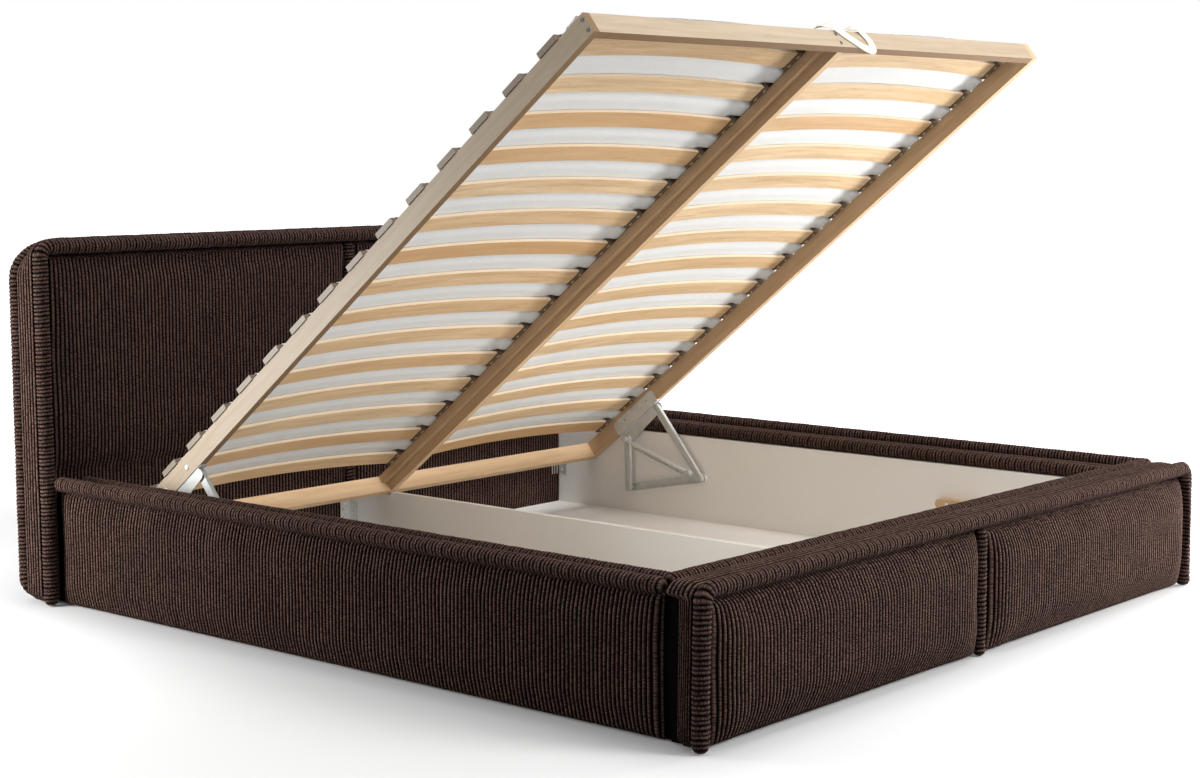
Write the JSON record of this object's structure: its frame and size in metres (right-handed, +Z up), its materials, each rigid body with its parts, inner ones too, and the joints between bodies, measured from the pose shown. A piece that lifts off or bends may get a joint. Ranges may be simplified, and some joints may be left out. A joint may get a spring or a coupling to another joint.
{
  "type": "upholstered storage bed",
  "caption": "Double bed with padded corduroy headboard, side rails and footboard round a storage box, and a slatted frame that lifts on folding mechanisms.",
  "frame": {"origin": "on the floor, under the middle of the bed's bounding box", "axes": "+X to the bed's right as seen from the foot, +Y towards the headboard, +Z up"},
  "size_m": [2.14, 2.2518, 1.458],
  "materials": {
    "core_lining": "matt",
    "corduroy": "ribbed",
    "back_cloth": "matt",
    "laminate": "satin laminate",
    "plywood": "satin",
    "slat_birch": "satin",
    "beech": "satin",
    "holder_plastic": "matt",
    "glide_plastic": "matt",
    "cover_cloth": "matt",
    "webbing": "matt",
    "zinc": "satin zinc"
  },
  "bodies": {
    "bed_base": {"headboard_core": "core_lining", "headboard_cushion_left": "corduroy", "headboard_cushion_right": "corduroy", "headboard_centre_roll": "corduroy", "headboard_front_roll": "corduroy", "headboard_band": "corduroy", "headboard_back_roll": "corduroy", "headboard_back_cover": "back_cloth", "footboard_core": "core_lining", "footboard_cushion_left": "corduroy", "footboard_cushion_right": "corduroy", "footboard_centre_roll": "corduroy", "footboard_outer_roll": "corduroy", "footboard_band": "corduroy", "footboard_inner_roll": "corduroy", "footboard_inner_board": "laminate", "left_side_core": "core_lining", "left_side_cushion": "corduroy", "left_side_outer_roll": "corduroy", "left_side_band": "corduroy", "left_side_inner_roll": "corduroy", "left_inner_board": "laminate", "right_side_core": "core_lining", "right_side_cushion": "corduroy", "right_side_outer_roll": "corduroy", "right_side_band": "corduroy", "right_side_inner_roll": "corduroy", "right_inner_board": "laminate", "centre_divider": "laminate", "floor_panel_left": "laminate", "floor_panel_right": "laminate", "connector_plates": "zinc", "rest_blocks": "beech", "base_glides": "glide_plastic", "box_screws": "zinc", "mechanism_base_left": "zinc", "mechanism_base_right": "zinc"},
    "slat_frame": {"frame_rail_left": "plywood", "frame_rail_right": "plywood", "frame_rail_centre": "plywood", "frame_rail_head": "plywood", "frame_rail_foot": "plywood", "slats_left": "slat_birch", "slats_right": "slat_birch", "slat_holders": "holder_plastic", "slat_cover_sheet": "cover_cloth", "pull_strap": "webbing", "frame_screws": "zinc", "bracket_bolts": "zinc", "lift_bracket_left": "zinc", "lift_bracket_right": "zinc"},
    "front_link_left": {"front_link_left": "zinc"},
    "rear_link_left": {"rear_link_left": "zinc"},
    "strut_barrel_left": {"strut_barrel_left": "zinc"},
    "strut_rod_left": {"strut_rod_left": "zinc"},
    "front_link_right": {"front_link_right": "zinc"},
    "rear_link_right": {"rear_link_right": "zinc"},
    "strut_barrel_right": {"strut_barrel_right": "zinc"},
    "strut_rod_right": {"strut_rod_right": "zinc"}
  },
  "joints": [
    {"name": "frame_lift", "type": "hinge", "parent": "front_link_left", "child": "slat_frame", "pos_m": [-0.8898, 0.59076, 0.36305], "axis": [1, 0, 0], "range_deg": [0, 84.91]},
    {"name": "front_link_left_pivot", "type": "hinge", "parent": "bed_base", "child": "front_link_left", "pos_m": [-0.8898, 0.41747, 0.1547], "axis": [1, 0, 0], "range_deg": [-47, 0]},
    {"name": "rear_link_left_pivot", "type": "hinge", "parent": "bed_base", "child": "rear_link_left", "pos_m": [-0.8898, 0.70409, 0.09869], "axis": [1, 0, 0], "range_deg": [-66.4, 0]},
    {"name": "strut_barrel_left_pivot", "type": "hinge", "parent": "front_link_left", "child": "strut_barrel_left", "pos_m": [-0.868, 0.44947, 0.1717], "axis": [1, 0, 0], "range_deg": [0, 31.4]},
    {"name": "strut_rod_left_slide", "type": "slide", "parent": "strut_barrel_left", "child": "strut_rod_left", "axis": [0, 0.9532, 0.3024], "range_m": [0, 0.1249]},
    {"name": "front_link_right_pivot", "type": "hinge", "parent": "bed_base", "child": "front_link_right", "pos_m": [0.8898, 0.41747, 0.1547], "axis": [1, 0, 0], "range_deg": [-47, 0]},
    {"name": "rear_link_right_pivot", "type": "hinge", "parent": "bed_base", "child": "rear_link_right", "pos_m": [0.8898, 0.70409, 0.09869], "axis": [1, 0, 0], "range_deg": [-66.4, 0]},
    {"name": "strut_barrel_right_pivot", "type": "hinge", "parent": "front_link_right", "child": "strut_barrel_right", "pos_m": [0.868, 0.44947, 0.1717], "axis": [1, 0, 0], "range_deg": [0, 31.4]},
    {"name": "strut_rod_right_slide", "type": "slide", "parent": "strut_barrel_right", "child": "strut_rod_right", "axis": [0, 0.9532, 0.3024], "range_m": [0, 0.1249]}
  ],
  "couplings": [
    {"joint": "front_link_left_pivot", "follows": "frame_lift", "ratio": -0.55245},
    {"joint": "rear_link_left_pivot", "follows": "frame_lift", "ratio": -0.78091},
    {"joint": "strut_barrel_left_pivot", "follows": "frame_lift", "ratio": 0.36903},
    {"joint": "strut_rod_left_slide", "follows": "frame_lift", "m_per_rad": 0.084159},
    {"joint": "front_link_right_pivot", "follows": "frame_lift", "ratio": -0.55245},
    {"joint": "rear_link_right_pivot", "follows": "frame_lift", "ratio": -0.78091},
    {"joint": "strut_barrel_right_pivot", "follows": "frame_lift", "ratio": 0.36903},
    {"joint": "strut_rod_right_slide", "follows": "frame_lift", "m_per_rad": 0.084159}
  ]
}
